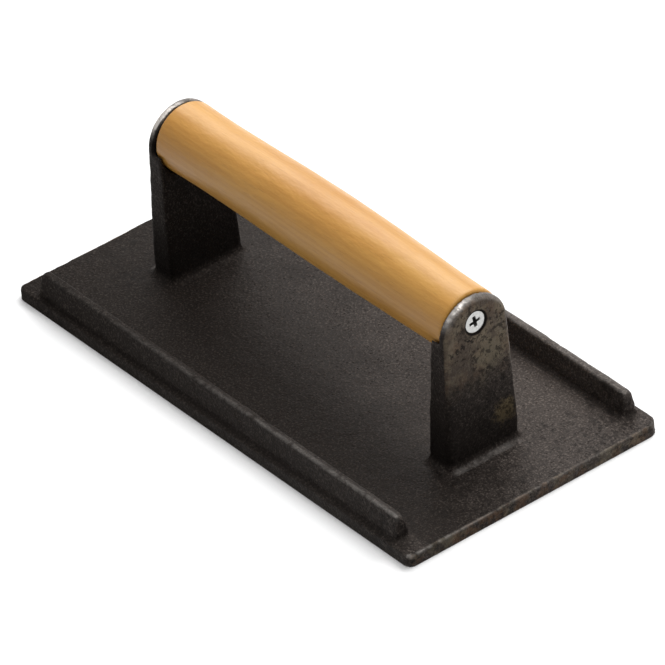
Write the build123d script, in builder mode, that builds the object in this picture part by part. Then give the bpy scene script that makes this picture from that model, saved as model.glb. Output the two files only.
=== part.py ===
from build123d import *

import os
from math import cos, radians, sqrt, tan

# Cast-iron steak press: a ribbed rectangular plate, two cradle lugs and a turned wooden handle.
# The origin is the centre of the pressing face, +X runs along the length towards the near lug,
# +Y across the width and +Z up through the handle. All sizes are millimetres and degrees.

os.makedirs("parts", exist_ok=True)

# Pressing plate
plate_length = 210.0
plate_width = 108.0
plate_thickness = 5.0
plate_corner_radius = 2.8
plate_edge_round = 0.8
plate_face_round = 0.4

# Rails along the two long edges
rail_height = 8.9
rail_foot_width = 6.2
rail_top_width = 2.8
rail_ledge = 2.2
rail_end_setback = 9.4
rail_end_slope = 0.5
rail_nose_round = 2.2
rail_top_round = 0.7
rail_foot_fillet = 0.9

# Lugs that carry the handle
lug_outer_base_x = 79.0
lug_thickness_base = 10.8
lug_outer_draft = 0.5
lug_inner_draft = 3.6
lug_side_draft = 2.0
lug_top_radius = 13.2
lug_centre_height = 54.8
lug_edge_round = 1.8
lug_inner_edge_round = 0.6
lug_foot_fillet = 3.0
lug_upper_wall = 3.0

# Turned handle
handle_axis_height = 56.3
handle_end_radius = 12.5
handle_middle_radius = 13.3
handle_end_round = 1.3

# Cradle in each lug that a handle end lies in
cradle_clearance = 0.2
cradle_rim_drop = 1.6

# Countersunk cross-recess wood screws, one through each lug
screw_rise = 2.1
screw_head_diameter = 8.0
screw_head_angle = 82.0
screw_head_land = 0.25
screw_head_sink = 0.25
screw_seat_clearance = 0.05
screw_shank_diameter = 4.2
screw_shank_clearance = 0.3
screw_length = 32.0
screw_point_length = 4.5
screw_point_diameter = 0.6
pilot_clearance = 0.1
pilot_extra_depth = 1.5
recess_span = 4.3
recess_floor_span = 1.8
recess_wing_width = 0.9
recess_depth = 1.9
recess_turn = 10.5


def draft_travel(angle, height):
    """Sideways travel of a drafted face over a height."""
    return height * tan(radians(angle))


def lug_outer_x(height):
    """Outer face of a lug at a height above the pressing face."""
    return lug_outer_base_x - draft_travel(lug_outer_draft, height - plate_thickness)


def lug_inner_x(height):
    """Inner face of a lug at a height above the pressing face."""
    travel = draft_travel(lug_inner_draft, height - plate_thickness)
    return lug_outer_base_x - lug_thickness_base + travel


def handle_radius_at(x):
    """Radius of the handle's barrel at a station, on the arc through its middle and its ends."""
    swell = handle_middle_radius - handle_end_radius
    arc_radius = (cradle_wall_x**2 + swell**2) / (2 * swell)
    return handle_middle_radius - arc_radius + sqrt(arc_radius**2 - x**2)


# Heights and stations that several pieces share
root_depth = plate_thickness / 2
root_height = plate_thickness - root_depth
rail_centre_y = plate_width / 2 - rail_ledge - rail_foot_width / 2
lug_top_height = lug_centre_height + lug_top_radius
cradle_rim_height = handle_axis_height - cradle_rim_drop
cradle_wall_x = lug_outer_x(handle_axis_height) - lug_upper_wall
cradle_mouth_x = lug_inner_x(handle_axis_height - handle_middle_radius)
cradle_radius = handle_radius_at(cradle_mouth_x) + cradle_clearance
screw_height = handle_axis_height + screw_rise
screw_face_x = lug_outer_x(screw_height)
screw_head_x = screw_face_x - screw_head_sink
screw_head_radius = screw_head_diameter / 2
screw_shank_radius = screw_shank_diameter / 2
screw_half_angle = radians(screw_head_angle / 2)


# One rail, a bar drafted on all four sides, standing on the plate
with BuildPart() as rail:
    with BuildSketch(Plane.XY.offset(plate_thickness)):
        with Locations((0, rail_centre_y)):
            Rectangle(plate_length - 2 * rail_end_setback, rail_foot_width)
    with BuildSketch(Plane.XY.offset(plate_thickness + rail_height)):
        with Locations((0, rail_centre_y)):
            Rectangle(plate_length - 2 * (rail_end_setback + rail_end_slope), rail_top_width)
    loft(ruled=True)
    rail_noses = rail.faces().sort_by(Axis.Z)[-1].edges().filter_by(
        lambda edge: edge.bounding_box().size.X < rail_end_slope
    )
    fillet(rail_noses, radius=rail_nose_round)
    fillet(rail.faces().sort_by(Axis.Z)[-1].edges(), radius=rail_top_round)


# One lug: an arched upright, drafted on every side, with a half-depth cradle for the handle end
with BuildPart() as lug:
    side_angle = radians(lug_side_draft)
    tangent_y = lug_top_radius * cos(side_angle)
    tangent_z = lug_centre_height + draft_travel(lug_side_draft, tangent_y)
    foot_y = tangent_y + draft_travel(lug_side_draft, tangent_z - root_height)
    with BuildSketch(Plane.YZ.offset(lug_outer_base_x + lug_thickness_base)):
        with BuildLine():
            Line((-foot_y, root_height), (-tangent_y, tangent_z))
            ThreePointArc((-tangent_y, tangent_z), (0, lug_top_height), (tangent_y, tangent_z))
            Line((tangent_y, tangent_z), (foot_y, root_height))
            Line((foot_y, root_height), (-foot_y, root_height))
        make_face()
    extrude(amount=-3 * lug_thickness_base)
    with BuildSketch(Plane.XZ):
        with BuildLine():
            Polyline(
                (lug_inner_x(root_height), root_height),
                (lug_outer_x(root_height), root_height),
                (lug_outer_x(lug_top_height), lug_top_height),
                (lug_inner_x(lug_top_height), lug_top_height),
                close=True,
            )
        make_face()
    extrude(amount=plate_width, both=True, mode=Mode.INTERSECT)

    outer_rim = lug.faces().sort_by(Axis.X)[-1].edges().filter_by(
        lambda edge: edge.bounding_box().max.Z > lug_centre_height / 2
    )
    fillet(outer_rim, radius=lug_edge_round)
    inner_sides = lug.faces().sort_by(Axis.X)[0].edges().filter_by(
        lambda edge: edge.bounding_box().max.Z > lug_centre_height / 2
    )
    fillet(inner_sides, radius=lug_inner_edge_round)

    with BuildSketch(Plane.YZ.offset(cradle_wall_x)):
        with Locations((0, handle_axis_height)):
            Circle(cradle_radius)
        with Locations((0, cradle_rim_height)):
            Rectangle(plate_width, 2 * lug_top_radius, align=(Align.CENTER, Align.MIN))
    extrude(amount=-2 * lug_thickness_base, mode=Mode.SUBTRACT)

    sink_radius = (
        screw_head_radius
        + screw_seat_clearance / cos(screw_half_angle)
        + (screw_head_sink + screw_head_land) * tan(screw_half_angle)
    )
    with Locations(Plane(origin=(screw_face_x, 0, screw_height), z_dir=(1, 0, 0))):
        CounterSinkHole(
            radius=screw_shank_radius + screw_shank_clearance,
            counter_sink_radius=sink_radius,
            depth=2 * lug_upper_wall,
            counter_sink_angle=screw_head_angle,
        )


# The casting: plate, two rails and two lugs in one piece of iron
with BuildPart() as press_casting:
    with BuildSketch():
        RectangleRounded(plate_length, plate_width, plate_corner_radius)
    extrude(amount=plate_thickness)
    fillet(press_casting.faces().sort_by(Axis.Z)[-1].edges(), radius=plate_edge_round)
    fillet(press_casting.faces().sort_by(Axis.Z)[0].edges(), radius=plate_face_round)
    add(rail.part)
    mirror(rail.part, about=Plane.XZ)
    add(lug.part)
    mirror(lug.part, about=Plane.YZ)

    lug_feet = (
        press_casting.edges()
        .filter_by_position(Axis.Z, plate_thickness - 0.01, plate_thickness + 0.01)
        .filter_by(lambda edge: abs(edge.center().X) < lug_outer_base_x + 1)
        .filter_by(lambda edge: abs(edge.center().Y) < foot_y + 1)
    )
    fillet(lug_feet, radius=lug_foot_fillet)
    rail_feet = (
        press_casting.edges()
        .filter_by_position(Axis.Z, plate_thickness - 0.01, plate_thickness + 0.01)
        .filter_by(lambda edge: abs(abs(edge.center().Y) - rail_centre_y) < 0.6 * rail_foot_width)
    )
    fillet(rail_feet, radius=rail_foot_fillet)


# The handle: a barrel turned about its length, with a pilot hole in each end
handle_axis = Axis((0, 0, handle_axis_height), (1, 0, 0))
pilot_depth = screw_length - (screw_head_x - cradle_wall_x) + pilot_extra_depth
with BuildPart() as handle:
    with BuildSketch(Plane.XZ):
        with BuildLine():
            Line(
                (-cradle_wall_x, handle_axis_height),
                (-cradle_wall_x, handle_axis_height + handle_end_radius),
            )
            ThreePointArc(
                (-cradle_wall_x, handle_axis_height + handle_end_radius),
                (0, handle_axis_height + handle_middle_radius),
                (cradle_wall_x, handle_axis_height + handle_end_radius),
            )
            Line(
                (cradle_wall_x, handle_axis_height + handle_end_radius),
                (cradle_wall_x, handle_axis_height),
            )
            Line((cradle_wall_x, handle_axis_height), (-cradle_wall_x, handle_axis_height))
        make_face()
    revolve(axis=handle_axis)
    fillet(handle.edges().filter_by(GeomType.CIRCLE), radius=handle_end_round)
    near_end = Plane(origin=(cradle_wall_x, 0, screw_height), z_dir=(1, 0, 0))
    far_end = Plane(origin=(-cradle_wall_x, 0, screw_height), z_dir=(-1, 0, 0))
    with Locations(near_end, far_end):
        Hole(radius=screw_shank_radius + pilot_clearance, depth=pilot_depth)


# The near screw: countersunk head with a cross recess, plain shank and point
head_centre = (screw_head_x, 0, screw_height)
head_cone_length = (screw_head_radius - screw_shank_radius) / tan(screw_half_angle)
with BuildPart() as near_screw:
    with BuildSketch(Plane(origin=head_centre, x_dir=(-1, 0, 0), z_dir=(0, 1, 0))):
        with BuildLine():
            Polyline(
                (0, 0),
                (0, screw_head_radius),
                (screw_head_land, screw_head_radius),
                (screw_head_land + head_cone_length, screw_shank_radius),
                (screw_length - screw_point_length, screw_shank_radius),
                (screw_length, screw_point_diameter / 2),
                (screw_length, 0),
                close=True,
            )
        make_face()
    revolve(axis=Axis(head_centre, (-1, 0, 0)))
    head_plane = Plane(origin=head_centre, x_dir=(0, 1, 0), z_dir=(1, 0, 0))
    for turn in (recess_turn, recess_turn + 90):
        with BuildSketch(head_plane.rotated((0, 0, turn)).rotated((90, 0, 0))):
            with BuildLine():
                Polyline(
                    (-recess_span / 2, 0),
                    (-recess_floor_span / 2, -recess_depth),
                    (recess_floor_span / 2, -recess_depth),
                    (recess_span / 2, 0),
                    close=True,
                )
            make_face()
        extrude(amount=recess_wing_width / 2, both=True, mode=Mode.SUBTRACT)


# The far screw stands opposite the near one
with BuildPart() as far_screw:
    mirror(near_screw.part, about=Plane.YZ)


pieces = {
    "press_casting": press_casting,
    "handle": handle,
    "near_screw": near_screw,
    "far_screw": far_screw,
}
for piece_name, piece in pieces.items():
    piece.part.label = piece_name
    export_step(piece.part, f"parts/{piece_name}.step")
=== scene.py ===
import logging
import math
from dataclasses import dataclass
from enum import Enum
from typing import Any

import bmesh
import bpy
import numpy as np
from mathutils import Matrix, Vector


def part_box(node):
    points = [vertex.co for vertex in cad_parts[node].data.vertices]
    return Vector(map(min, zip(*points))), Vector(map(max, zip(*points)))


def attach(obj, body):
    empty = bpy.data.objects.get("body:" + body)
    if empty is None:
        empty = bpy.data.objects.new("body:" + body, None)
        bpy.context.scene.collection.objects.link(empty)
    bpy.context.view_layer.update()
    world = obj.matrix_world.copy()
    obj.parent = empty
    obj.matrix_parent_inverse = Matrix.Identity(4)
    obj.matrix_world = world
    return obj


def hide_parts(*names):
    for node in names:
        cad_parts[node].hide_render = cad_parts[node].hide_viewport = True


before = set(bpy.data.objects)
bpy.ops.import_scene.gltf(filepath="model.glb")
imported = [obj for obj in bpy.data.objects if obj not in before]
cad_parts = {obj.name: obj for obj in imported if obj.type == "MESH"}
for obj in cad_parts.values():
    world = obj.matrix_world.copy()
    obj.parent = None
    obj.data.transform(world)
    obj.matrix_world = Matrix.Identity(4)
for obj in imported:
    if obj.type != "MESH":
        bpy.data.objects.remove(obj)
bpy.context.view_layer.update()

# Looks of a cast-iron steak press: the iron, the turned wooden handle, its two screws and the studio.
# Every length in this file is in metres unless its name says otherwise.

logging.basicConfig(level=logging.INFO, format="%(message)s")
log = logging.getLogger("steak_press")

MM = 0.001
Triple = tuple[float, float, float]
Colour = Triple
Span = tuple[float, float]

# Sockets of the Mix node when it mixes colours
MIX_SHARE, MIX_UNDER, MIX_OVER, MIX_RESULT = 0, 6, 7, 2


class LugEnd(Enum):
    """The two ends of the press, by the sign of X."""

    NEAR = 1
    FAR = -1


@dataclass(frozen=True, eq=False)
class Wire:
    """An output socket that takes part in arithmetic, each operation adding a Math node."""

    graph: "Graph"
    socket: bpy.types.NodeSocket

    def _math(self, operation: str, *operands: Any) -> "Wire":
        """A Math node of one operation on the operands."""
        return self.graph.add("ShaderNodeMath", {"operation": operation}, dict(enumerate(operands)))

    def __add__(self, other: Any) -> "Wire":
        """The sum."""
        return self._math("ADD", self, other)

    __radd__ = __add__

    def __sub__(self, other: Any) -> "Wire":
        """The difference."""
        return self._math("SUBTRACT", self, other)

    def __rsub__(self, other: Any) -> "Wire":
        """The difference, with this wire second."""
        return self._math("SUBTRACT", other, self)

    def __mul__(self, other: Any) -> "Wire":
        """The product."""
        return self._math("MULTIPLY", self, other)

    __rmul__ = __mul__

    def __abs__(self) -> "Wire":
        """The size without its sign."""
        return self._math("ABSOLUTE", self)

    def least(self, other: Any) -> "Wire":
        """The smaller of this wire and another."""
        return self._math("MINIMUM", self, other)

    def most(self, other: Any) -> "Wire":
        """The larger of this wire and another."""
        return self._math("MAXIMUM", self, other)

    def root(self) -> "Wire":
        """The square root."""
        return self._math("SQRT", self)

    def sine(self) -> "Wire":
        """The sine."""
        return self._math("SINE", self)

    def rise(self, low: float, high: float) -> "Wire":
        """A smooth step from 0 at low to 1 at high, or the other way round if low is above high.

        Args:
            low: The value that gives 0.
            high: The value that gives 1.

        Returns:
            The stepped wire.
        """
        start, end, first, last = (low, high, 0.0, 1.0) if low < high else (high, low, 1.0, 0.0)
        return self.graph.add(
            "ShaderNodeMapRange",
            {"interpolation_type": "SMOOTHSTEP"},
            {"Value": self, "From Min": start, "From Max": end, "To Min": first, "To Max": last},
        )


class Graph:
    """The node tree of a material or of the world, with the few builders that the finishes share."""

    def __init__(self, owner: bpy.types.Material | bpy.types.World) -> None:
        """Empties the owner's tree.

        Args:
            owner: The material or the world that the tree belongs to.
        """
        owner.use_nodes = True
        self.owner = owner
        self.tree = owner.node_tree
        self.tree.nodes.clear()

    @classmethod
    def of_material(cls, name: str) -> "Graph":
        """The empty tree of a new material."""
        return cls(bpy.data.materials.new(name))

    def add(
        self, kind: str, settings: dict[str, Any], sockets: dict[Any, Any], output: int | str = 0
    ) -> Wire:
        """Adds one node.

        Args:
            kind: The node's type.
            settings: The node's own settings, set first.
            sockets: A value or a Wire for each input socket, by name or index.
            output: The output socket that the returned wire stands for.

        Returns:
            The wire of that output.
        """
        node = self.tree.nodes.new(kind)
        for key, value in settings.items():
            setattr(node, key, value)
        for key, value in sockets.items():
            if isinstance(value, Wire):
                self.tree.links.new(value.socket, node.inputs[key])
            else:
                node.inputs[key].default_value = value
        return Wire(self, node.outputs[output])

    def place_mm(self) -> Wire:
        """Object coordinates in millimetres."""
        place = self.add("ShaderNodeTexCoord", {}, {}, "Object")
        return self.scaled(place, (1 / MM, 1 / MM, 1 / MM))

    def scaled(self, vector: Wire, factors: Triple, shift: Triple = (0.0, 0.0, 0.0)) -> Wire:
        """A vector multiplied and shifted part by part.

        Args:
            vector: The vector.
            factors: One factor for each axis.
            shift: What is added on each axis afterwards.

        Returns:
            The new vector.
        """
        return self.add(
            "ShaderNodeVectorMath",
            {"operation": "MULTIPLY_ADD"},
            {0: vector, 1: factors, 2: shift},
        )

    def split(self, vector: Wire) -> tuple[Wire, Wire, Wire]:
        """The X, Y and Z parts of a vector."""
        first = self.add("ShaderNodeSeparateXYZ", {}, {"Vector": vector})
        parts = first.socket.node.outputs
        return tuple(Wire(self, parts[axis]) for axis in ("X", "Y", "Z"))

    def noise(self, place: Wire, per_mm: float, detail: float, rough: float) -> Wire:
        """Fractal noise about 0.5.

        Args:
            place: Where it is read, in millimetres.
            per_mm: Features per millimetre.
            detail: Octaves added to the first.
            rough: Share that each octave keeps of the one before.

        Returns:
            The noise value.
        """
        return self.add(
            "ShaderNodeTexNoise",
            {"noise_dimensions": "3D"},
            {"Vector": place, "Scale": per_mm, "Detail": detail, "Roughness": rough},
        )

    def cells(self, place: Wire, per_mm: float) -> Wire:
        """Distance to the nearest of scattered points, in cells."""
        return self.add(
            "ShaderNodeTexVoronoi", {"feature": "F1"}, {"Vector": place, "Scale": per_mm}, "Distance"
        )

    def mix(self, share: Any, under: Any, over: Any) -> Wire:
        """Lays one colour over another.

        Args:
            share: How much of the upper colour shows, 0 to 1.
            under: The lower colour, a wire or three numbers.
            over: The upper colour, a wire or three numbers.

        Returns:
            The mixed colour.
        """
        lower, upper = (c if isinstance(c, Wire) else (*c, 1.0) for c in (under, over))
        sockets = {MIX_SHARE: share, MIX_UNDER: lower, MIX_OVER: upper}
        return self.add("ShaderNodeMix", {"data_type": "RGBA"}, sockets, MIX_RESULT)

    def choose(self, share: Wire, first: Wire, second: Wire) -> Wire:
        """The first shader where the share is 0, the second where it is 1."""
        return self.add("ShaderNodeMixShader", {}, {0: share, 1: first, 2: second})

    def attribute(self, name: str) -> Wire:
        """A number that the mesh carries at each point."""
        return self.add("ShaderNodeAttribute", {"attribute_name": name}, {}, "Fac")

    def background_rays(self) -> Wire:
        """1 on the rays that show the white background: camera, glossy and transmission rays."""
        shown = self.add("ShaderNodeLightPath", {}, {}, "Is Camera Ray")
        rays = shown.socket.node.outputs
        for kind in ("Is Glossy Ray", "Is Transmission Ray"):
            shown = shown.most(Wire(self, rays[kind]))
        return shown

    def bump(self, height: Wire, distance: float, under: Wire | None = None) -> Wire:
        """A bumped normal.

        Args:
            height: The height, 0 to 1.
            distance: The real height of 1, in metres.
            under: A normal that is already bumped, or None.

        Returns:
            The normal.
        """
        sockets = {"Height": height, "Distance": distance, "Strength": 1.0}
        if under is not None:
            sockets["Normal"] = under
        return self.add("ShaderNodeBump", {}, sockets, "Normal")

    def surface(self, **sockets: Any) -> bpy.types.Material:
        """Ends the material in a Principled BSDF.

        Args:
            **sockets: The shader's inputs, with underscores for spaces.

        Returns:
            The material.
        """
        named = {key.replace("_", " "): value for key, value in sockets.items()}
        return self.finished(self.add("ShaderNodeBsdfPrincipled", {}, named))

    def finished(self, shader: Wire) -> bpy.types.Material | bpy.types.World:
        """Links a shader to the tree's output and returns the owner."""
        of_world = isinstance(self.owner, bpy.types.World)
        kind = "ShaderNodeOutputWorld" if of_world else "ShaderNodeOutputMaterial"
        end = self.tree.nodes.new(kind)
        self.tree.links.new(shader.socket, end.inputs["Surface"])
        return self.owner


@dataclass(frozen=True)
class Mottle:
    """Patches of fractal noise: how fine and rough it is, where it turns on and where it is read."""

    per_mm: float
    detail: float
    rough: float
    turns_on: Span = (0.0, 1.0)
    shift: Triple = (0.0, 0.0, 0.0)

    def noise(self, g: Graph, place: Wire) -> Wire:
        """The noise itself, about 0.5."""
        shifted = g.scaled(place, (1.0, 1.0, 1.0), self.shift)
        return g.noise(shifted, self.per_mm, self.detail, self.rough)

    def mask(self, g: Graph, place: Wire) -> Wire:
        """1 in the patches, 0 between them."""
        return self.noise(g, place).rise(*self.turns_on)


@dataclass(frozen=True)
class Spot:
    """A ragged round spot on the lugs' outer faces: its place and radius in millimetres."""

    y: float
    z: float
    radius: float
    tear: float = 2.2
    core: float = 0.35

    def mask(self, y: Wire, z: Wire, ragged: Wire) -> Wire:
        """1 inside the spot, 0 outside.

        Args:
            y: Object Y in millimetres.
            z: Object Z in millimetres.
            ragged: Noise about 0.5 that tears the spot's edge.

        Returns:
            The mask.
        """
        aside = y - self.y
        above = z - self.z
        torn = (aside * aside + above * above).root() + (ragged - 0.5) * (self.radius * self.tear)
        return torn.rise(self.radius, self.radius * self.core)


@dataclass(frozen=True)
class CastIronFinish:
    """Oiled grey iron as cast: near-black brown, sand grain and bright wear on the high edges, with painted
    sheen, painted highlights and painted shade.

    A span is where a mask is 0 and where it is 1. The painted sheen is a slow change of tone over the
    plate, paler towards the back and the near end where the lamps' sheen falls, the numbers along and
    across it being per millimetre.
    """

    dark: Colour = (0.0085, 0.0066, 0.0056)
    pale: Colour = (0.036, 0.0295, 0.0262)
    sand: Colour = (0.108, 0.091, 0.079)
    rust: Colour = (0.105, 0.059, 0.032)
    olive: Colour = (0.215, 0.182, 0.125)
    tan: Colour = (0.36, 0.27, 0.14)
    # Painted light: a paler umber high on the lugs' outer faces
    upper_light: Colour = (0.150, 0.115, 0.086)
    bare_and_highlight: Colour = (0.52, 0.49, 0.46)
    # Near-black of the dark blotches and scabs, and of painted shade
    soot_and_shade: Colour = (0.004, 0.0033, 0.003)
    sheen: Colour = (1.0, 0.84, 0.75)

    # Painted sheen: the plate paler towards the back and the near end, where the lamps' sheen falls; and a
    # paler front rail
    sheen_along: float = 0.0018
    sheen_across: float = 0.0060
    front_rail_tone: float = 0.22
    front_rail_tone_y: Span = (-43.0, -46.0)
    front_rail_tone_x: Span = (-120.0, 60.0)
    tone_span: Span = (0.45, 0.84)

    grain: Mottle = Mottle(1.0, 4.0, 0.62)
    patches: Mottle = Mottle(0.055, 3.0, 0.60)
    specks: Mottle = Mottle(1.3, 2.0, 0.70, (0.50, 0.66), (31.0, 7.0, 3.0))
    rusting: Mottle = Mottle(0.17, 4.0, 0.68, (0.46, 0.62), (5.0, 0.0, 11.0))
    mossing: Mottle = Mottle(0.12, 5.0, 0.70, (0.46, 0.62), (0.0, 9.0, 23.0))
    blotches: Mottle = Mottle(0.32, 5.0, 0.75, (0.50, 0.62), (2.0, 17.0, 8.0))
    scabs: Mottle = Mottle(0.60, 3.0, 0.65, (0.50, 0.60))
    scab_fields: Mottle = Mottle(0.06, 1.0, 0.50, (0.48, 0.58))
    pits_per_mm: float = 0.62
    pit_span: Span = (0.30, 0.05)

    # Millimetres from the middle, in from the plate's end and above the plate's top
    outer_face_x: Span = (77.6, 78.3)
    near_lug_x: Span = (70.0, 76.0)
    edge_inset: Span = (1.2, 0.7)
    stain_and_light_rise: Span = (24.0, 46.0)
    # Painted shade low on the lugs
    foot_shade_fades: Span = (30.0, 8.0)
    foot_shade_starts: Span = (1.0, 3.0)
    foot_shade_side: Span = (22.0, 18.0)

    # Millimetres from the screw's axis
    ring_inside: Span = (3.9, 4.1)
    ring_outside: Span = (5.1, 4.5)

    bloom: Spot = Spot(5.0, 45.0, 9.0)
    tan_spot: Spot = Spot(9.5, 18.5, 6.0)
    scab_spot: Spot = Spot(-5.5, 50.0, 9.0)
    rust_share: float = 0.8
    moss_share: float = 0.75
    blotch_share: float = 0.62
    upper_light_share: float = 0.42
    bloom_share: float = 0.45
    tan_share: float = 0.42
    scab_share: float = 0.9

    grain_height: float = 0.26 * MM
    speck_height: float = 0.11 * MM
    gloss: float = 0.09

    def _stains_and_upper_light(self, g: Graph, colour: Wire, casting: "PressCasting", half: Span) -> Wire:
        """Lays rust, olive bloom and dark scabs over the lugs' outer faces and the plate's ends, and a
        painted lighter umber high on the lugs' outer faces, standing in for the light they reflect.

        Args:
            g: The graph.
            colour: The iron's colour so far.
            casting: The casting, for its heights.
            half: Half the plate's length and width.

        Returns:
            The stained colour.
        """
        place = g.place_mm()
        x, y, z = g.split(place)
        plate_top = casting.plate_top / MM
        # The upper part of the lugs' outer faces: where rust and olive lie and where lighter umber is
        # painted in
        high = z.rise(*(plate_top + rise for rise in self.stain_and_light_rise))
        outward = abs(x).rise(*self.outer_face_x)
        edge_face = abs(x).rise(*(half[0] / MM - inset for inset in self.edge_inset))
        stained = (high * outward * 0.85 + edge_face * 0.7).least(1.0)
        near_face = outward * x.rise(*self.near_lug_x)
        blotch = self.blotches.noise(g, place)
        scabbed = self.scab_spot.mask(y, z, blotch).most(self.scab_fields.mask(g, place) * 0.8)
        mossy = self.moss_share - edge_face * 0.35
        for share, tint in (
            (self.rusting.mask(g, place) * stained * self.rust_share, self.rust),
            (self.mossing.mask(g, place) * stained * mossy, self.olive),
            (blotch.rise(*self.blotches.turns_on) * outward * self.blotch_share, self.soot_and_shade),
            # Painted light: the upper part of the lugs' outer faces made paler, standing in for the
            # reflection it catches
            (high * outward * self.upper_light_share, self.upper_light),
            (self.bloom.mask(y, z, blotch) * near_face * self.bloom_share, self.olive),
            (self.tan_spot.mask(y, z, blotch) * near_face * self.tan_share, self.tan),
            (self.scabs.mask(g, place) * scabbed * outward * self.scab_share, self.soot_and_shade),
        ):
            colour = g.mix(share, colour, tint)
        return colour

    def _shade_and_grease(self, g: Graph, casting: "PressCasting") -> Wire:
        """Painted shade, with old grease in the ring: the skin's corners and fillets, a ring round the
        screw's head and the lugs' lower parts.

        Args:
            g: The graph.
            casting: The casting, for its heights.

        Returns:
            0 where the iron is unshaded, 1 where it is painted black.
        """
        x, y, z = g.split(g.place_mm())
        # A dark ring in the countersink's gap round the screw's head: painted shade and old grease.
        lift = z - casting.screw_height / MM
        from_screw = (y * y + lift * lift).root()
        ring = from_screw.rise(*self.ring_inside) * from_screw.rise(*self.ring_outside)
        ring = ring * abs(x).rise(*self.outer_face_x)
        plate_top = casting.plate_top / MM
        # Painted shade: the lugs darker towards their feet, where they reflect the dark plate.
        foot = z.rise(*(plate_top + rise for rise in self.foot_shade_fades))
        foot = foot * z.rise(*(plate_top + rise for rise in self.foot_shade_starts))
        foot = foot * abs(y).rise(*self.foot_shade_side)
        return (g.attribute("corner_shade") * 0.8 + ring + foot * 0.6).least(1.0)

    def material(self, casting: "PressCasting", half: Span) -> bpy.types.Material:
        """Builds the finish, whose wear, painted highlights and painted shade come from the skin's own
        attributes.

        Args:
            casting: The casting, for its heights.
            half: Half the plate's length and width.

        Returns:
            The material.
        """
        g = Graph.of_material("cast_iron")
        place = g.place_mm()
        x, y, _ = g.split(place)
        grain = self.grain.noise(g, place)
        speck = self.specks.noise(g, place)
        pits = g.cells(place, self.pits_per_mm).rise(*self.pit_span)
        # Painted sheen: paler towards the back and the near end, where the lamps' sheen falls, and rougher
        # where it is darker
        sheen_and_rail_tone = x * self.sheen_along + y * self.sheen_across
        # A paler tone on the front rail's outer face and the plate's front edge, more towards the near end
        on_front_rail = y.rise(*self.front_rail_tone_y) * x.rise(*self.front_rail_tone_x)
        sheen_and_rail_tone = sheen_and_rail_tone + on_front_rail * self.front_rail_tone
        tone = (self.patches.noise(g, place) * 0.4 + grain * 0.6 + sheen_and_rail_tone).rise(*self.tone_span)
        dull = (sheen_and_rail_tone * -1.0).most(0.0)

        colour = g.mix(tone, self.dark, self.pale)
        sandy = speck.rise(*self.specks.turns_on) * (0.30 + tone * 0.60)
        colour = g.mix(sandy, colour, self.sand)
        # Darker in the pits.
        colour = g.mix(pits * 0.6, colour, self.soot_and_shade)
        colour = self._stains_and_upper_light(g, colour, casting, half)
        # Painted shade in corners, behind the rims, in the screw's ring and low on the lugs; old grease in
        # the ring too.
        shade_and_grease = self._shade_and_grease(g, casting)
        colour = g.mix(shade_and_grease, colour, self.soot_and_shade)
        # Bright bare metal where worn, which also paints the highlight on the lugs' rims and feet
        bare_and_highlight = (g.attribute("wear_and_highlight") * (0.55 + speck * 0.9) * (1.0 - shade_and_grease)).least(1.0)
        colour = g.mix(bare_and_highlight * 0.85, colour, self.bare_and_highlight)

        normal = g.bump(grain - pits * 0.7, self.grain_height)
        normal = g.bump(speck, self.speck_height, normal)
        return g.surface(
            Base_Color=colour,
            Roughness=0.50 + (grain - 0.5) * 0.30 + shade_and_grease * 0.30 + dull * 0.60 - bare_and_highlight * 0.14,
            Metallic=bare_and_highlight * 0.8,
            Specular_IOR_Level=self.gloss,
            Specular_Tint=(*self.sheen, 1.0),
            Normal=normal,
        )


@dataclass(frozen=True)
class VarnishedWoodFinish:
    """Fine straight-grained hardwood, turned, stained honey and satin varnished."""

    early: Colour = (0.570, 0.300, 0.068)
    late: Colour = (0.455, 0.208, 0.037)
    pore: Colour = (0.26, 0.116, 0.027)
    ring_spacing_mm: float = 2.6
    pith_mm: Span = (34.0, 18.0)
    ring_wander_mm: float = 9.0
    tone_span: Span = (0.30, 0.72)
    pore_span: Span = (0.60, 0.74)
    pore_share: float = 0.35
    uneven_height: float = 0.42 * MM
    fibre_height: float = 0.018 * MM
    coat: float = 0.38
    coat_roughness: float = 0.38
    gloss: float = 0.22

    def material(self) -> bpy.types.Material:
        """Builds the finish, with the grain along X: each noise is stretched along it."""
        g = Graph.of_material("varnished_wood")
        place = g.place_mm()
        warp = g.noise(g.scaled(place, (0.012, 0.09, 0.09)), 1.0, 2.0, 0.5)
        fibre = g.noise(g.scaled(place, (0.035, 1.6, 1.6)), 1.0, 4.0, 0.6)
        pores = g.noise(g.scaled(place, (0.16, 3.4, 3.4)), 1.0, 2.0, 0.5)
        cloud = g.noise(g.scaled(place, (0.012, 0.05, 0.05)), 1.0, 2.0, 0.5)
        uneven = g.noise(g.scaled(place, (0.10, 0.20, 0.20)), 1.0, 3.0, 0.6)
        _, y, z = g.split(place)
        side = y + self.pith_mm[0]
        lift = z + self.pith_mm[1]
        radius = (side * side + lift * lift).root() + warp * self.ring_wander_mm
        rings = (radius * (2 * math.pi / self.ring_spacing_mm)).sine() * 0.5 + 0.5
        tone = (rings * 0.08 + fibre * 0.30 + cloud * 0.62).rise(*self.tone_span)
        colour = g.mix(tone, self.early, self.late)
        colour = g.mix(pores.rise(*self.pore_span) * self.pore_share, colour, self.pore)
        normal = g.bump(uneven, self.uneven_height)
        normal = g.bump(fibre * 0.5 + pores * 0.5, self.fibre_height, normal)
        return g.surface(
            Base_Color=colour,
            Roughness=0.42 + (fibre - 0.5) * 0.18 + (uneven - 0.5) * 0.3,
            Coat_Weight=self.coat,
            Coat_Roughness=self.coat_roughness,
            Specular_IOR_Level=self.gloss,
            Normal=normal,
        )


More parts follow.
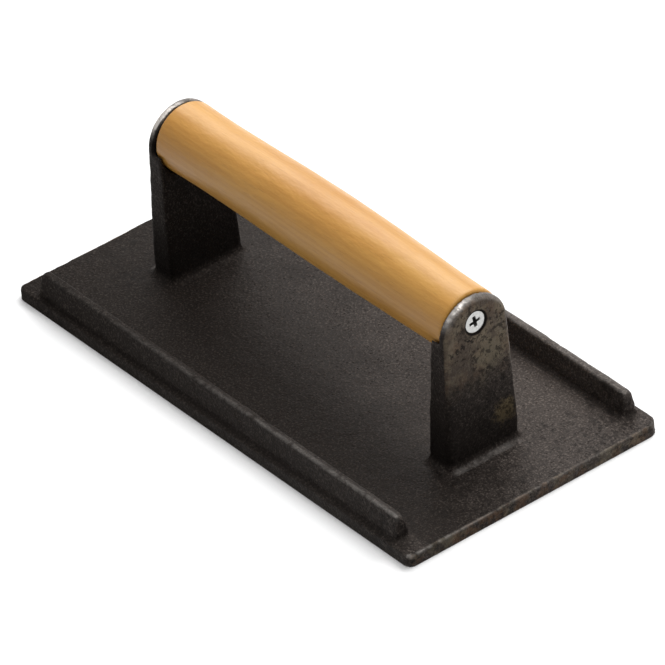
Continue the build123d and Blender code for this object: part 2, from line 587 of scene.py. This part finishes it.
@dataclass(frozen=True)
class ZincFinish:
    """Bright zinc plate on a steel screw, a little dulled and handled."""

    plate: Colour = (0.53, 0.53, 0.52)
    dull: Colour = (0.38, 0.38, 0.37)
    # Painted shade in the cross recess
    recess_shade: Colour = (0.055, 0.053, 0.051)
    haze: Mottle = Mottle(1.3, 3.0, 0.60, (0.42, 0.70))
    sunk_from_mm: Span = (0.12, 0.45)
    sunk_to_mm: Span = (2.3, 2.1)
    sunk_within_mm: Span = (2.35, 2.2)
    brushing_per_mm: float = 9.0
    brushing_height: float = 0.006 * MM

    def material(self, head_x: float, axis_z: float) -> bpy.types.Material:
        """Builds the finish, with painted shade darkening the cross recess.

        Args:
            head_x: Distance of the head's face from the middle of the press.
            axis_z: Height of the screw's axis.

        Returns:
            The material.
        """
        g = Graph.of_material("zinc_plate")
        place = g.place_mm()
        x, y, z = g.split(place)
        depth = head_x / MM - abs(x)
        lift = z - axis_z / MM
        off_axis = (y * y + lift * lift).root()
        # Painted shade: the cross recess darkened
        sunk = depth.rise(*self.sunk_from_mm) * depth.rise(*self.sunk_to_mm)
        sunk = sunk * off_axis.rise(*self.sunk_within_mm)
        fine = g.noise(place, self.brushing_per_mm, 2.0, 0.6)
        hazy = g.mix(self.haze.mask(g, place) * 0.6, self.plate, self.dull)
        return g.surface(
            Base_Color=g.mix(sunk, hazy, self.recess_shade),
            Roughness=0.30 + fine * 0.16 + sunk * 0.3,
            Metallic=1.0,
            Normal=g.bump(fine, self.brushing_height),
        )


@dataclass(frozen=True)
class FloorFinish:
    """Plain matt studio white, lifted to white for the rays that show the background."""

    white: Colour = (0.80, 0.80, 0.80)
    lift: Colour = (0.18, 0.18, 0.18)
    far_lift: Colour = (1.0, 1.0, 1.0)
    far_mm: Span = (300.0, 900.0)

    def material(self) -> bpy.types.Material:
        """Builds the finish, whose lift grows with the distance from the press."""
        g = Graph.of_material("studio_floor")
        matt = g.add("ShaderNodeBsdfDiffuse", {}, {"Color": (*self.white, 1.0)})
        shown = g.background_rays()
        x, y, _ = g.split(g.place_mm())
        far = (x * x + y * y).root().rise(*self.far_mm) * shown
        lifted = g.mix(far, self.lift, self.far_lift)
        glow = g.add("ShaderNodeEmission", {}, {"Color": lifted, "Strength": 1.0})
        seen = g.add("ShaderNodeAddShader", {}, {0: matt, 1: glow})
        return g.finished(g.choose(shown, matt, seen))


def closed_surface(name: str, rings: np.ndarray, material: bpy.types.Material) -> bpy.types.Object:
    """Makes a closed mesh object from rings of points, each ring joined to the next.

    Quad (i, j) joins points (i, j), (i, j+1), (i+1, j+1) and (i+1, j), with the segment index
    wrapping round. A triangle joins each side of the first and of the last ring to the ring's
    mean point.

    Args:
        name: The piece's name.
        rings: Points in metres, shaped (ring, segment, 3), turning so that faces point out.
        material: The piece's finish.

    Returns:
        The object, with smooth faces.
    """
    count, sides = rings.shape[:2]
    i, j = np.meshgrid(np.arange(count - 1), np.arange(sides), indexing="ij")
    k = (j + 1) % sides
    quads = np.stack([i * sides + j, i * sides + k, (i + 1) * sides + k, (i + 1) * sides + j], -1)
    around = np.arange(sides)
    beside = (around + 1) % sides
    base = (count - 1) * sides
    first_pole = np.full(sides, count * sides)
    last_pole = first_pole + 1
    points = np.vstack([rings.reshape(-1, 3), rings[0].mean(0), rings[-1].mean(0)])
    faces = quads.reshape(-1, 4).tolist()
    faces += np.stack([first_pole, beside, around], -1).tolist()
    faces += np.stack([last_pole, base + around, base + beside], -1).tolist()
    mesh = bpy.data.meshes.new(name)
    mesh.from_pydata(points.tolist(), [], faces)
    mesh.update()
    mesh.shade_smooth()
    mesh.materials.append(material)
    return placed(name, mesh)


def placed(name: str, data: bpy.types.ID) -> bpy.types.Object:
    """A new object in the scene, at the origin, for a mesh, a lamp or a camera."""
    piece = bpy.data.objects.new(name, data)
    bpy.context.scene.collection.objects.link(piece)
    return piece


@dataclass
class BarrelHandle:
    """The turned handle: a barrel about the X axis with a blind pilot hole in each end."""

    end_round: float = 1.3 * MM
    stations_mm: tuple[float, ...] = (-75.6, -68.0, -45.0, -18.0, 7.0, 32.0, 50.0, 75.6)
    radii_mm: tuple[float, ...] = (12.75, 12.6, 12.55, 12.9, 13.2, 12.85, 12.55, 12.35)
    bow_mm: tuple[float, ...] = (0.10, 0.25, 0.50, 0.75, 0.80, 0.55, 0.35, 0.10)
    end_gap: float = 0.20 * MM
    pilot_radius: float = 2.2 * MM
    pilot_depth: float = 28.0 * MM
    pilot_rise: float = 2.1 * MM
    ripple: float = 0.03 * MM
    oval_length: float = 9.0 * MM
    oval_lead: float = 0.6
    groove_length: float = 3.7 * MM
    groove_lead: float = 1.0
    groove_share: float = 0.6
    sides: int = 144
    hole_rings: int = 12
    face_rings: int = 13
    edge_rings: int = 8
    barrel_rings: int = 148

    def _along(self, x: np.ndarray, values_mm: tuple[float, ...]) -> np.ndarray:
        """A quartic of the distance along the axis, fitted to a value at each station."""
        return np.polyval(np.polyfit(self.stations_mm, values_mm, 4), x / MM) * MM

    def build(self, finish: VarnishedWoodFinish) -> bpy.types.Object:
        """Makes the handle in place of its CAD node.

        The barrel's radius and its slight bow sideways are quartics of the distance along the axis.
        The meridian runs from the bottom of one pilot hole, out over the end face and its rounded
        edge, along the barrel and back in at the other end. Rings in a hole are centred on the hole,
        rings on the barrel on the axis, and the end face blends from one centre to the other. The
        ripple of turning is a slowly twisting oval and shallow grooves, both cut inwards.

        Args:
            finish: The wood's finish.

        Returns:
            The piece.
        """
        low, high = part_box("handle")
        half = (high.x - low.x) / 2 - self.end_gap
        axis_z = (high.z + low.z) / 2
        inner = half - self.end_round
        quarter = np.linspace(0.0, math.pi / 2, self.edge_rings + 1)[1:]
        across = np.linspace(0.0, 1.0, self.face_rings + 1)[1:]
        barrel_x = np.linspace(-inner, inner, self.barrel_rings + 2)[1:-1]
        ends = []
        for side in (-1.0, 1.0):
            rim = self._along(np.array([side * inner]), self.radii_mm)[0] - self.end_round
            hole_x = side * (half - self.pilot_depth * np.linspace(1.0, 0.0, self.hole_rings))
            face_x = np.full(self.face_rings, side * half)
            edge_x = side * (inner + self.end_round * np.cos(quarter))
            hole_r = np.full(self.hole_rings, self.pilot_radius)
            face_r = self.pilot_radius + (rim - self.pilot_radius) * across
            edge_r = rim + self.end_round * np.sin(quarter)
            off_axis = np.concatenate([np.ones(self.hole_rings), 1 - across, np.zeros(self.edge_rings)])
            end_x = np.concatenate([hole_x, face_x, edge_x])
            ends.append((end_x, np.concatenate([hole_r, face_r, edge_r]), off_axis))
        (far_x, far_r, far_off), (near_x, near_r, near_off) = ends
        x = np.concatenate([far_x, barrel_x, near_x[::-1]])
        radius = np.concatenate([far_r, self._along(barrel_x, self.radii_mm), near_r[::-1]])
        off_axis = np.concatenate([far_off, np.zeros(len(barrel_x)), near_off[::-1]])

        turn = np.linspace(0.0, 2 * math.pi, self.sides, endpoint=False)
        oval = np.sin(x / self.oval_length)[:, None] * np.cos(2 * turn + self.oval_lead)
        grooves = self.groove_share * np.sin(x / self.groove_length + self.groove_lead)[:, None]
        turned = self.ripple * (oval + grooves - (1 + self.groove_share))
        # Rim is the near end's here, the smaller of the two.
        full = radius[:, None] + np.where((radius > rim)[:, None], turned, 0.0)
        bow = self._along(np.clip(x, -inner, inner), self.bow_mm) * (1 - off_axis)
        rings = np.stack(
            [
                np.broadcast_to(x[:, None], full.shape),
                bow[:, None] + full * np.cos(turn),
                axis_z + (off_axis * self.pilot_rise)[:, None] + full * np.sin(turn),
            ],
            -1,
        )
        piece = closed_surface("wooden_handle", rings, finish.material())
        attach(piece, "root")
        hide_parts("handle")
        return piece


@dataclass
class CrossRecessScrew:
    """A countersunk wood screw with a cross recess, a rolled thread and a gimlet point."""

    end: LugEnd
    head_angle_deg: float = 82.0
    head_land: float = 0.25 * MM
    shank_radius: float = 2.1 * MM
    root_radius: float = 1.5 * MM
    point_length: float = 4.5 * MM
    neck_length: float = 6.0 * MM
    pitch: float = 1.7 * MM
    recess_span: float = 4.8 * MM
    recess_floor_span: float = 1.8 * MM
    recess_wing_width: float = 1.35 * MM
    recess_depth: float = 1.9 * MM
    recess_turn_deg: float = 10.5
    wall_softness: float = 0.10 * MM
    edge_round: float = 0.18 * MM
    crest_from: float = 0.45
    crest_power: float = 1.3
    point_share: float = 0.05
    tip_clearance: float = 0.2 * MM
    sides: int = 144
    face_rings: int = 70
    edge_rings: int = 5
    cone_rings: int = 10
    neck_rings: int = 5
    thread_rings: int = 219

    def _recess(self, across: np.ndarray, up: np.ndarray) -> np.ndarray:
        """Depth of the recess at points of the head's face.

        Each wing is as deep as the lesser of its ramp from tip to floor and its two soft walls, and
        the cross is the deeper of its two wings.

        Args:
            across: Distance from the centre along the first wing.
            up: Distance from the centre along the second wing.

        Returns:
            The depth in metres, 0 on the flat.
        """
        ramp_length = (self.recess_span - self.recess_floor_span) / 2

        def wing(along: np.ndarray, beside: np.ndarray) -> np.ndarray:
            """Depth of one pair of wings."""
            ramp = np.clip((self.recess_span / 2 - np.abs(along)) / ramp_length, 0.0, 1.0)
            wall = smooth_step(self.recess_wing_width / 2 - np.abs(beside), 0.0, self.wall_softness)
            return self.recess_depth * ramp * wall

        return np.maximum(wing(across, up), wing(up, across))

    def build(self, finish: ZincFinish) -> bpy.types.Object:
        """Makes the screw in place of its CAD node.

        Rings run from the centre of the head's face to its rim, down the cone, along the neck and
        the thread, and close on the point. On the thread the radius follows a soft triangle wave of
        the distance along the screw less the turn, which winds a helix.

        Args:
            finish: The plating's finish.

        Returns:
            The piece.
        """
        node = f"{self.end.name.lower()}_screw"
        low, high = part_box(node)
        sign = float(self.end.value)
        length = high.x - low.x
        head_x = high.x if sign > 0 else low.x
        head_radius = (high.y - low.y) / 2
        axis_z = (high.z + low.z) / 2
        half_angle = math.radians(self.head_angle_deg / 2)
        turn = np.linspace(0.0, 2 * math.pi, self.sides, endpoint=False)

        face_r = np.linspace(0.02, 1.0, self.face_rings) * (head_radius - self.edge_round)
        quarter = np.linspace(0.0, math.pi / 2, self.edge_rings + 1)[1:]
        edge_r = head_radius - self.edge_round + self.edge_round * np.sin(quarter)
        edge_d = self.edge_round * (1 - np.cos(quarter))
        cone_end = self.head_land + (head_radius - self.shank_radius) / math.tan(half_angle)
        cone_d = np.linspace(self.head_land, cone_end, self.cone_rings)
        cone_r = np.linspace(head_radius, self.shank_radius, self.cone_rings)
        neck_end = cone_end + self.neck_length
        neck_d = np.linspace(cone_end, neck_end, self.neck_rings + 1)[1:]
        neck_r = np.full(self.neck_rings, self.shank_radius)
        thread_d = np.linspace(neck_end, length - self.tip_clearance, self.thread_rings + 1)[1:]
        depth = np.concatenate([np.zeros(self.face_rings), edge_d, cone_d, neck_d, thread_d])

        wave = np.abs(2 * np.mod(thread_d[:, None] / self.pitch - turn / (2 * math.pi), 1.0) - 1)
        crest = np.clip((wave - self.crest_from) / (1 - self.crest_from), 0.0, 1.0) ** self.crest_power
        lead_in = np.clip((thread_d - neck_end) / self.pitch, 0.0, 1.0)[:, None]
        taper = np.clip((length - thread_d) / self.point_length, self.point_share, 1.0)[:, None]
        core = self.shank_radius + (self.root_radius - self.shank_radius) * lead_in
        thread_r = (core + (self.shank_radius - core) * crest) * taper
        plain_r = np.concatenate([face_r, edge_r, cone_r, neck_r])
        radius = np.vstack([np.repeat(plain_r[:, None], self.sides, 1), thread_r])

        clock = math.radians(self.recess_turn_deg) * sign
        recess = self._recess(radius * np.cos(turn - clock), radius * np.sin(turn - clock))
        on_face = (np.arange(len(depth)) < self.face_rings)[:, None]
        sunk = depth[:, None] + np.where(on_face, recess, 0.0)
        rings = np.stack(
            [
                head_x - sign * sunk,
                radius * np.cos(turn),
                axis_z + radius * np.sin(turn),
            ],
            -1,
        )
        if sign > 0:
            rings = rings[::-1]
        piece = closed_surface(f"{node}_plated", rings, finish.material(abs(head_x), axis_z))
        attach(piece, "root")
        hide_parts(node)
        return piece


def value_noise(points: np.ndarray, spacing: float, seed: int) -> np.ndarray:
    """Smooth noise from 0 to 1 at many points at once.

    Random values stand at the corners of a cubic lattice. A point's value is the blend of its eight
    corners, each weighted by the product of three smooth steps of how near it lies on each axis.

    Args:
        points: Points in metres, shaped (count, 3).
        spacing: Side of a lattice cube in metres.
        seed: Seed of the lattice values.

    Returns:
        One value for each point.
    """
    size = 64
    lattice = np.random.default_rng(seed).random((size, size, size))
    clear_of_zero = 1000.0
    scaled = points / spacing + clear_of_zero
    cell = np.floor(scaled).astype(int)
    part = scaled - cell
    part = part * part * (3.0 - 2.0 * part)
    total = np.zeros(len(points))
    for corner in np.ndindex(2, 2, 2):
        step = np.array(corner)
        weight = np.prod(np.where(step == 1, part, 1.0 - part), axis=1)
        i, j, k = ((cell + step) % size).T
        total += weight * lattice[i, j, k]
    return total


def smooth_step(value: np.ndarray, low: float, high: float) -> np.ndarray:
    """A smooth step of an array from 0 at low to 1 at high."""
    share = np.clip((value - low) / (high - low), 0.0, 1.0)
    return share * share * (3.0 - 2.0 * share)


def read_values(elements: Any, key: str, width: int, kind: type) -> np.ndarray:
    """One property of all of a mesh's elements, a row of the given width and type for each."""
    values = np.empty(len(elements) * width, dtype=kind)
    elements.foreach_get(key, values)
    return values.reshape(-1, width)


@dataclass(frozen=True)
class NoiseLayer:
    """One layer of value noise: its weight, the side of its lattice's cubes and its seed."""

    weight: float
    spacing: float
    seed: int

    def at(self, points: np.ndarray) -> np.ndarray:
        """The weighted noise at many points."""
        return self.weight * value_noise(points, self.spacing, self.seed)


@dataclass
class PressCasting:
    """The iron casting: plate, two rails and two lugs in one skin, uneven as a sand mould leaves it."""

    plate_top: float = 5.0 * MM
    rail_top: float = 13.9 * MM
    rail_centre: float = 48.7 * MM
    arch_centre: float = 54.8 * MM
    screw_height: float = 58.4 * MM
    corner_square: float = 2.8 * MM
    corner_worn: float = 4.6 * MM
    lug_swell: float = 0.30 * MM
    far_arch_rise: float = 0.75 * MM
    near_arch_rise: float = -0.15 * MM
    skin_swell: float = 0.32 * MM
    skin_cell: float = 0.67 * MM
    waves: NoiseLayer = NoiseLayer(0.30 * MM, 14.0 * MM, 11)
    lumps: NoiseLayer = NoiseLayer(0.22 * MM, 4.2 * MM, 12)
    grain: NoiseLayer = NoiseLayer(0.15 * MM, 1.7 * MM, 13)
    pits: NoiseLayer = NoiseLayer(1.0, 1.9 * MM, 21)
    pitted_fields: NoiseLayer = NoiseLayer(1.0, 11.0 * MM, 22)
    pit_depth: float = 0.38 * MM
    scuffs: NoiseLayer = NoiseLayer(0.45, 4.0 * MM, 31)
    scratches: NoiseLayer = NoiseLayer(0.55, 1.1 * MM, 32)
    back_rail_wear: float = 0.21
    front_rail_wear: Span = (0.06, 0.34)
    plate_edge_wear: Span = (0.34, 0.12)
    # Painted highlight along the lugs' outer feet
    foot_highlight: float = 0.10

    def _skin(self) -> bpy.types.Mesh:
        """An even skin of small quads over the CAD shape."""
        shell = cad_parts["press_casting"].data.copy()
        merged = bmesh.new()
        merged.from_mesh(shell)
        bmesh.ops.remove_doubles(merged, verts=merged.verts, dist=0.001 * MM)
        merged.to_mesh(shell)
        merged.free()
        holder = placed("skin_source", shell)
        remesh = holder.modifiers.new("even_quads", "REMESH")
        remesh.mode = "VOXEL"
        remesh.voxel_size = self.skin_cell
        graph = bpy.context.evaluated_depsgraph_get()
        skin = bpy.data.meshes.new_from_object(holder.evaluated_get(graph), depsgraph=graph)
        bpy.data.objects.remove(holder)
        return skin

    @staticmethod
    def _flatten_base(skin: bpy.types.Mesh) -> None:
        """Joins the quads of the pressing face into one face."""
        work = bmesh.new()
        work.from_mesh(skin)
        base = [face for face in work.faces if all(v.co.z < 0.01 * MM for v in face.verts)]
        bmesh.ops.dissolve_faces(work, faces=base, use_verts=True)
        work.to_mesh(skin)
        work.free()

    @staticmethod
    def _bulge(points: np.ndarray, normals: np.ndarray, edges: np.ndarray, passes: int) -> np.ndarray:
        """How convex the skin is at each point.

        The mean of a point's neighbours lies below the point along its normal where the skin is
        convex. That depth is divided by the neighbours' distance and averaged with the neighbours'
        own a few times.

        Args:
            points: The skin's points.
            normals: Their normals.
            edges: Pairs of point indices.
            passes: How many times the depth is averaged.

        Returns:
            Positive numbers on edges, negative ones in corners and fillets, 0 on flats.
        """
        count = len(points)
        here, there = np.concatenate([edges, edges[:, ::-1]]).T
        shares = 1.0 / np.maximum(np.bincount(here, minlength=count), 1)

        def around(values: np.ndarray) -> np.ndarray:
            """Mean over each point's neighbours."""
            return np.bincount(here, weights=values[there], minlength=count) * shares

        mean = np.stack([around(points[:, axis]) for axis in range(3)], -1)
        reach = np.bincount(
            here, weights=np.linalg.norm(points[here] - points[there], axis=1), minlength=count
        )
        bulge = ((points - mean) * normals).sum(1) / np.maximum(reach * shares, 1e-9)
        for _ in range(passes):
            bulge = 0.4 * bulge + 0.6 * around(bulge)
        return bulge

    def _round_corners(self, points: np.ndarray, half: tuple[float, float]) -> np.ndarray:
        """Draws the plate's back near corner in to a rounder, worn outline.

        Within the worn radius of a corner, a point's distance from the arc's centre is scaled by the
        worn radius over the distance at which the squarer outline lies in the same direction.

        Args:
            points: The skin's points.
            half: Half the plate's length and width.

        Returns:
            The moved points.
        """
        centre = np.array(half) - self.corner_worn
        offset = np.abs(points[:, :2]) - centre
        low = points[:, 2] < self.plate_top + 0.5 * MM
        near = (offset > 0).all(1) & (points[:, :2] > 0).all(1) & low
        offset = np.where(near[:, None], offset, 1.0)
        length = np.linalg.norm(offset, axis=1)
        toward = offset / length[:, None]
        inset = self.corner_worn - self.corner_square
        along = inset * toward.sum(1)
        square = along + np.sqrt(np.maximum(along**2 - 2 * inset**2 + self.corner_square**2, 0.0))
        square = np.minimum(square, self.corner_worn / toward.max(1))
        scale = np.where(near, self.corner_worn / np.maximum(square, self.corner_worn), 1.0)
        moved = points.copy()
        signs = np.sign(points[:, :2])
        rounded = signs * (centre + offset * scale[:, None])
        moved[:, :2] = np.where(near[:, None], rounded, points[:, :2])
        return moved

    def _true_lugs(self, points: np.ndarray) -> np.ndarray:
        """Swells the lugs a little and gives the far one its taller arch.

        Above the foot, Y grows by a fixed share and the outer half of the thickness moves outwards.
        The far lug's arch rises by a smooth step of the height.

        Args:
            points: The skin's points.

        Returns:
            The moved points.
        """
        x, y, z = points.T
        on_lug = smooth_step(z, self.plate_top + 1 * MM, self.plate_top + 6 * MM) * (np.abs(y) < 20 * MM)
        outer = smooth_step(np.abs(x), 72 * MM, 77 * MM)
        rise = smooth_step(z, self.arch_centre, self.arch_centre + 11 * MM)
        moved = points.copy()
        moved[:, 0] += np.sign(x) * self.lug_swell * on_lug * outer
        moved[:, 1] *= 1 + self.lug_swell / (14 * MM) * on_lug
        moved[:, 2] += np.where(x < 0, self.far_arch_rise, self.near_arch_rise) * rise
        return moved

    def _sink(self, points: np.ndarray) -> np.ndarray:
        """How far each point of the skin sinks along its normal.

        A sum of noises: long waves, lumps, grain and scattered pits, deeper on the lugs. Above the
        plate a swell is taken off, so that rails and lugs stay about as thick as in the CAD. The
        pressing face stays flat.

        Args:
            points: The skin's points.

        Returns:
            A depth in metres for each point.
        """
        z = points[:, 2]
        pits = smooth_step(self.pits.at(points), 0.70, 0.92)
        pits = pits * smooth_step(self.pitted_fields.at(points), 0.45, 0.75)
        on_lug = smooth_step(z, self.plate_top + 3 * MM, self.plate_top + 6 * MM)
        sink = self.waves.at(points) + self.lumps.at(points) + self.grain.at(points)
        sink += self.pit_depth * pits * (0.35 + 0.65 * on_lug)
        sink -= self.skin_swell * smooth_step(z, self.plate_top + 0.3 * MM, self.plate_top + 2 * MM)
        return sink * smooth_step(z, 0.1 * MM, 1.2 * MM)

    def _wear_and_highlight(self, points: np.ndarray, normals: np.ndarray, bulge: np.ndarray, end_x: float) -> np.ndarray:
        """How far handling has worn each point bright, and where a painted highlight brightens it.

        The greatest of four: the rails' tops, most on the front rail's outer edge towards the near
        end; the top edge of the plate's near end; a painted highlight in a faint line at the lugs' outer
        feet; and the lugs' rims, worn bare and carrying a painted highlight, most where they face up and
        to the front and along the far lug's inner lip. Scuffs break all of them up.

        Args:
            points: The skin's points.
            normals: Their normals.
            bulge: How convex the skin is at each.
            end_x: Half the plate's length.

        Returns:
            The wear and painted highlight, 0 to about 1.
        """
        x, y, z = points.T
        out_x = np.abs(x)
        ridge = smooth_step(bulge, 0.05, 0.20)
        worn = smooth_step(self.scuffs.at(points) + self.scratches.at(points), 0.30, 0.60)

        on_rail = smooth_step(z, self.rail_top - 1.1 * MM, self.rail_top - 0.5 * MM)
        on_rail = on_rail * (np.abs(np.abs(y) - self.rail_centre) < 3 * MM)
        nearness = smooth_step(x, -90 * MM, 90 * MM)
        front_edge = smooth_step(-y, self.rail_centre - 0.1 * MM, self.rail_centre + 0.8 * MM)
        far_wear, near_wear = self.front_rail_wear
        front = (far_wear + (near_wear - far_wear) * nearness) * (0.15 + 0.85 * front_edge)
        handled = np.where(y > 0, self.back_rail_wear, front)
        rails = np.maximum(on_rail * handled * (0.55 + 0.45 * ridge), ridge * 0.30 * handled)

        on_end = smooth_step(bulge, 0.03, 0.12) * smooth_step(x, end_x - 3 * MM, end_x - 1.5 * MM)
        on_end *= (z < self.plate_top + 0.5 * MM) * (z > self.plate_top - 1.6 * MM)
        front_wear, back_wear = self.plate_edge_wear
        across = smooth_step(y, -54 * MM, 30 * MM)
        end_edge = on_end * (front_wear + (back_wear - front_wear) * across)

        # Painted highlight: a faint bright line at the lugs' outer feet, where the fillet catches the lamp.
        foot = smooth_step(out_x, 79.5 * MM, 80.3 * MM) * smooth_step(-out_x, -82.0 * MM, -81.2 * MM)
        foot *= smooth_step(-np.abs(y), -15.5 * MM, -12.5 * MM)
        foot *= smooth_step(z, self.plate_top - 0.3 * MM, self.plate_top + 0.1 * MM)

        # The rims are worn bare and carry a painted highlight, most where they face up and to the front,
        # and along the far lug's inner lip.
        facing = smooth_step(normals[:, 2], 0.35, 0.85) * smooth_step(-normals[:, 1], -0.10, 0.35)
        far_lip = (x < 0) * smooth_step(x, -77.2 * MM, -76.6 * MM)
        rim = smooth_step(z, self.arch_centre + 3 * MM, self.arch_centre + 8 * MM)
        rim *= smooth_step(bulge, 0.02, 0.09) * (0.25 + 0.9 * facing) * (1 + 0.8 * far_lip)

        wear_and_highlight = np.maximum(rails, end_edge) * (0.15 + 0.85 * worn)
        wear_and_highlight = np.maximum(wear_and_highlight, self.foot_highlight * foot * (0.5 + worn))
        return np.maximum(wear_and_highlight, rim * (0.55 + 0.45 * worn))

    def _corner_shade(self, points: np.ndarray, bulge: np.ndarray) -> np.ndarray:
        """Painted shade: darker in corners and fillets, and behind the lugs' rims at the front.

        Args:
            points: The skin's points.
            bulge: How convex the skin is at each.

        Returns:
            The painted shade, 0 to 1.
        """
        x, y, z = points.T
        # Painted shade on the rims' inner faces at the front, next to the handle's ends.
        behind_rim = smooth_step(-np.abs(x), -76.1 * MM, -75.8 * MM) * smooth_step(-y, 6.5 * MM, 9.5 * MM)
        behind_rim *= (z > self.arch_centre) * (z < 69 * MM)
        return np.maximum(smooth_step(-bulge, 0.01, 0.10), behind_rim)

    def build(self, finish: CastIronFinish) -> bpy.types.Object:
        """Makes the casting in place of its CAD node.

        The skin is trued to the photographed outline and sinks along its normals. How it bulges
        gives the wear, the painted highlights and the painted shade that the finish reads.

        Args:
            finish: The iron's finish.

        Returns:
            The piece.
        """
        low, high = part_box("press_casting")
        half = ((high.x - low.x) / 2, (high.y - low.y) / 2)
        skin = self._skin()
        self._flatten_base(skin)
        points = read_values(skin.vertices, "co", 3, float)
        normals = read_values(skin.vertices, "normal", 3, float)
        edges = read_values(skin.edges, "vertices", 2, int)
        bulge = self._bulge(points, normals, edges, 3)

        trued = self._true_lugs(self._round_corners(points, half))
        skin.vertices.foreach_set("co", (trued - normals * self._sink(points)[:, None]).ravel())
        layers = {
            "wear_and_highlight": self._wear_and_highlight(points, normals, bulge, half[0]),
            "corner_shade": self._corner_shade(points, bulge),
        }
        for name, values in layers.items():
            layer = skin.attributes.new(name, "FLOAT", "POINT")
            layer.data.foreach_set("value", values.astype(np.float32))

        skin.update()
        skin.shade_smooth()
        skin.materials.clear()
        skin.materials.append(finish.material(self, half))
        piece = placed("cast_press_body", skin)
        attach(piece, "root")
        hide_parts("press_casting")
        return piece


def heading(azimuth_deg: float, elevation_deg: float) -> Vector:
    """The direction at an azimuth, from -Y towards +X, and an elevation."""
    around = math.radians(azimuth_deg)
    above = math.radians(elevation_deg)
    level = math.cos(above)
    return Vector((math.sin(around) * level, -math.cos(around) * level, math.sin(above)))


@dataclass(frozen=True)
class Softbox:
    """One square area lamp, aimed at the middle of the press."""

    name: str
    azimuth_deg: float
    elevation_deg: float
    distance: float
    side: float
    watts: float

    def hang(self, aim: Vector) -> None:
        """Hangs the lamp.

        Args:
            aim: The point it faces.
        """
        away = heading(self.azimuth_deg, self.elevation_deg)
        lamp = bpy.data.lights.new(self.name, "AREA")
        lamp.shape = "SQUARE"
        lamp.size = self.side
        lamp.energy = self.watts
        holder = placed(self.name, lamp)
        holder.location = aim + away * self.distance
        holder.rotation_euler = (-away).to_track_quat("-Z", "Y").to_euler()


@dataclass
class Studio:
    """Floor, lamps, surroundings and the camera at the photograph's angle."""

    floor_side: float = 6.0
    surround: float = 0.11
    azimuth_deg: float = 53.58
    elevation_deg: float = 35.83
    roll_deg: float = -4.46
    distance: float = 3.0087
    focal_pixels: float = 8978.0
    slide_right: float = -0.89 * MM
    slide_up: float = 10.66 * MM
    photo_pixels: int = 665
    sensor_mm: float = 36.0
    aim: Triple = (0.0, 0.0, 30 * MM)
    lamps: tuple[Softbox, ...] = (
        Softbox("key_softbox", azimuth_deg=178, elevation_deg=58, distance=1.5, side=0.9, watts=19.0),
        Softbox("top_softbox", azimuth_deg=75, elevation_deg=76, distance=1.6, side=0.9, watts=9.0),
        Softbox("side_softbox", azimuth_deg=236, elevation_deg=44, distance=1.4, side=0.9, watts=10.5),
    )

    def lay_floor(self, finish: FloorFinish) -> None:
        """Lays the floor at the pressing face's level."""
        reach = self.floor_side / 2
        mesh = bpy.data.meshes.new("studio_floor")
        corners = [(-reach, -reach, 0), (reach, -reach, 0), (reach, reach, 0), (-reach, reach, 0)]
        mesh.from_pydata(corners, [], [(0, 1, 2, 3)])
        mesh.materials.append(finish.material())
        floor = placed("studio_floor", mesh)

    def light(self) -> None:
        """Sets the surroundings, which show white behind the press, and hangs the lamps."""
        g = Graph(bpy.data.worlds.new("studio"))
        white = (1.0, 1.0, 1.0, 1.0)
        plain = g.add("ShaderNodeBackground", {}, {"Color": white, "Strength": self.surround})
        backdrop = g.add("ShaderNodeBackground", {}, {"Color": white, "Strength": 1.0})
        bpy.context.scene.world = g.finished(g.choose(g.background_rays(), plain, backdrop))
        for lamp in self.lamps:
            lamp.hang(Vector(self.aim))

    def point_camera(self) -> None:
        """Sets up the camera from its angles, its distance from the origin and its two slides."""
        around = math.radians(self.azimuth_deg)
        roll = math.radians(self.roll_deg)
        back = heading(self.azimuth_deg, self.elevation_deg)
        level = Vector((math.cos(around), math.sin(around), 0.0))
        upright = back.cross(level)
        right = math.cos(roll) * level + math.sin(roll) * upright
        up = -math.sin(roll) * level + math.cos(roll) * upright
        place = back * self.distance + right * self.slide_right + up * self.slide_up
        lens = bpy.data.cameras.new("photo_camera")
        lens.sensor_width = self.sensor_mm
        lens.lens = self.focal_pixels / self.photo_pixels * self.sensor_mm
        lens.clip_start = 0.1
        lens.clip_end = 20.0
        camera = placed("photo_camera", lens)
        turned = Matrix((right, up, back)).transposed().to_4x4()
        camera.matrix_world = Matrix.Translation(place) @ turned
        bpy.context.scene.camera = camera

    def set_up(self) -> None:
        """Makes the whole studio."""
        self.point_camera()
        self.lay_floor(FloorFinish())
        self.light()
        bpy.context.scene.view_settings.view_transform = "Standard"


def main() -> None:
    """Builds the studio and the press, and reports each piece."""
    Studio().set_up()
    made = [PressCasting().build(CastIronFinish()), BarrelHandle().build(VarnishedWoodFinish())]
    made += [CrossRecessScrew(end).build(ZincFinish()) for end in LugEnd]
    for piece in made:
        log.info("%s: %d faces", piece.name, len(piece.data.polygons))


if __name__ == "__main__":
    main()
